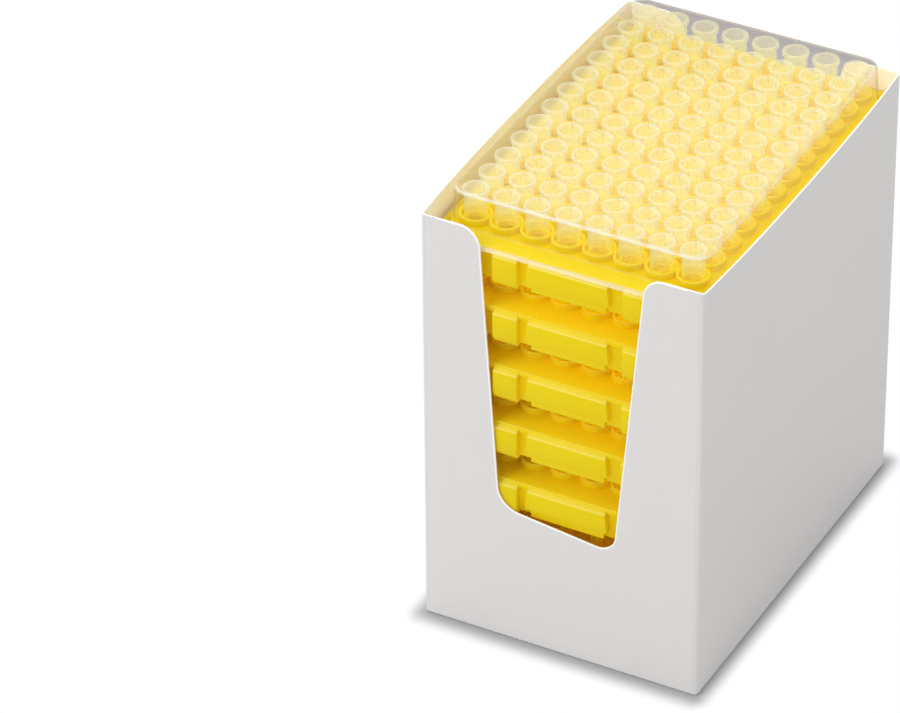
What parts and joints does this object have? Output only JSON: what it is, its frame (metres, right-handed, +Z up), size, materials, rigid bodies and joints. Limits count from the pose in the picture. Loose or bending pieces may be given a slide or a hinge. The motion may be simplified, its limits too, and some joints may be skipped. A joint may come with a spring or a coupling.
{
  "type": "box of pipette tips",
  "caption": "Open-topped folded carton of stacked moulded racks of pipette tips, with cut-outs in two walls and a clear cover.",
  "frame": {"origin": "middle of the carton's underside", "axes": "+Z up, the front wall with its cut-out and the gripping tabs of the racks faces -Y, +X to the right seen from the front"},
  "size_m": [0.0848, 0.12, 0.1332],
  "materials": {
    "white_board": "coated white board, satin outside",
    "kraft_board": "plain brown corrugated board",
    "yellow_plastic": "moulded, smooth",
    "natural_plastic": "natural translucent, smooth",
    "clear_sheet": "clear thermoformed sheet"
  },
  "bodies": {
    "root": {"carton": "white_board", "riser": "kraft_board", "rack_1": "yellow_plastic", "rack_2": "yellow_plastic", "rack_3": "yellow_plastic", "rack_4": "yellow_plastic", "rack_5": "yellow_plastic", "tips_1": "natural_plastic", "tips_2": "natural_plastic", "tips_3": "natural_plastic", "tips_4": "natural_plastic", "tips_5": "natural_plastic", "cover": "clear_sheet"}
  },
  "joints": []
}
